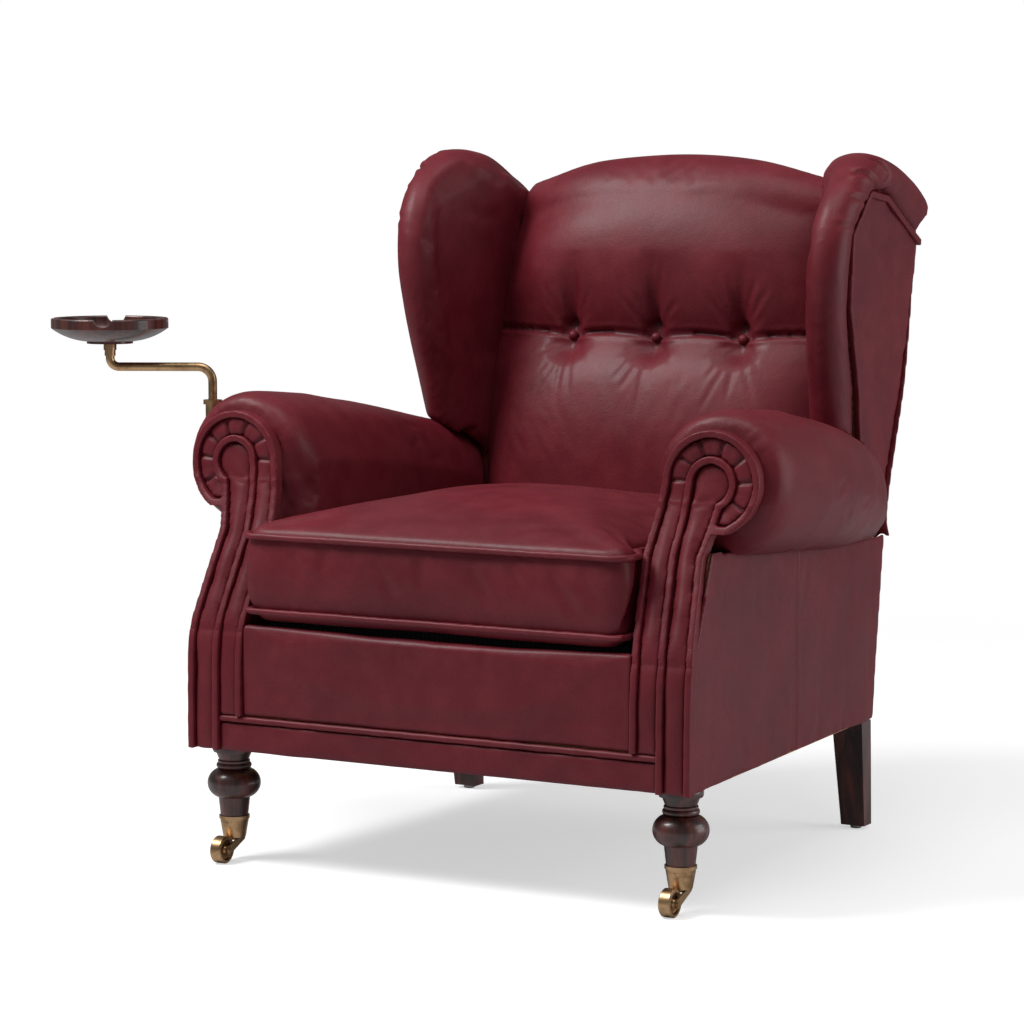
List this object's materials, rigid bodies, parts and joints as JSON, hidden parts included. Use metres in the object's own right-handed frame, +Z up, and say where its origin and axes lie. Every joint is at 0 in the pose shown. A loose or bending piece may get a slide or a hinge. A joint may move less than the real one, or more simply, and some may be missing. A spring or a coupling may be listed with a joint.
{
  "type": "hall porter chair",
  "caption": "Wing armchair with scroll arms, loose seat cushion, turned front legs on casters, and a tray that swings over one arm.",
  "frame": {"origin": "on the floor, midway between the arms and near the middle of the base from front to back", "axes": "+Z up, -Y towards the front of the chair, +X towards the arm at the right of someone who faces the chair; the tray is on the -X arm"},
  "size_m": [1.1035, 0.7977, 0.9359],
  "materials": {
    "leather": "satin",
    "mahogany": "gloss",
    "beech": "matte",
    "brass": "satin",
    "black_cloth": "matte",
    "webbing": "matte",
    "steel": "satin"
  },
  "bodies": {
    "chair": {"arm_band_left": "leather", "arm_band_right": "leather", "arm_bracket": "brass", "arm_facing_left": "leather", "arm_facing_right": "leather", "arm_pad_left": "leather", "arm_pad_right": "leather", "arm_piping_left": "leather", "arm_piping_right": "leather", "arm_posts": "beech", "arm_rails": "beech", "back_buttons": "leather", "back_post_left": "beech", "back_post_right": "beech", "back_rails": "beech", "back_webbing": "webbing", "base_border": "leather", "bracket_screws": "brass", "caster_ferrule_left": "brass", "caster_ferrule_right": "brass", "corner_blocks": "beech", "dust_cover": "black_cloth", "ferrule_pins": "brass", "front_border": "leather", "front_leg_left": "mahogany", "front_leg_right": "mahogany", "front_seat_rail": "beech", "front_welt": "leather", "inside_back": "leather", "outside_arm_left": "leather", "outside_arm_right": "leather", "outside_back": "leather", "rear_glides": "steel", "rear_leg_left": "mahogany", "rear_leg_right": "mahogany", "rear_seat_rail": "beech", "seat_deck": "black_cloth", "seat_springs": "steel", "side_seat_rails": "beech", "wing_board_left": "beech", "wing_board_right": "beech", "wing_outer_panel_left": "leather", "wing_outer_panel_right": "leather", "wing_pad_left": "leather", "wing_pad_right": "leather", "wing_piping_left": "leather", "wing_piping_right": "leather"},
    "cushion": {"seat_cushion": "leather", "cushion_piping": "leather"},
    "caster_left": {"caster_horn_left": "brass", "caster_axle_left": "brass"},
    "caster_right": {"caster_horn_right": "brass", "caster_axle_right": "brass"},
    "wheel_left": {"caster_wheel_left": "brass"},
    "wheel_right": {"caster_wheel_right": "brass"},
    "swing": {"swing_rod": "brass"},
    "tray": {"tray_collar": "brass", "tray": "mahogany"}
  },
  "joints": [
    {"name": "cushion_pull", "type": "slide", "parent": "chair", "child": "cushion", "axis": [0, -1, 0], "range_m": [0, 0.6]},
    {"name": "caster_left_swivel", "type": "hinge", "parent": "chair", "child": "caster_left", "pos_m": [-0.33, -0.2715, 0.033], "axis": [0, 0, 1], "continuous": true},
    {"name": "caster_right_swivel", "type": "hinge", "parent": "chair", "child": "caster_right", "pos_m": [0.33, -0.2715, 0.033], "axis": [0, 0, 1], "continuous": true},
    {"name": "wheel_left_spin", "type": "hinge", "parent": "caster_left", "child": "wheel_left", "pos_m": [-0.33, -0.3015, 0.018], "axis": [1, 0, 0], "continuous": true},
    {"name": "wheel_right_spin", "type": "hinge", "parent": "caster_right", "child": "wheel_right", "pos_m": [0.33, -0.3015, 0.018], "axis": [1, 0, 0], "continuous": true},
    {"name": "rod_swing", "type": "hinge", "parent": "chair", "child": "swing", "pos_m": [-0.457, -0.127, 0.555], "axis": [0, 0, 1], "continuous": true},
    {"name": "tray_spin", "type": "hinge", "parent": "swing", "child": "tray", "pos_m": [-0.583, -0.19, 0.668], "axis": [0, 0, 1], "continuous": true}
  ]
}
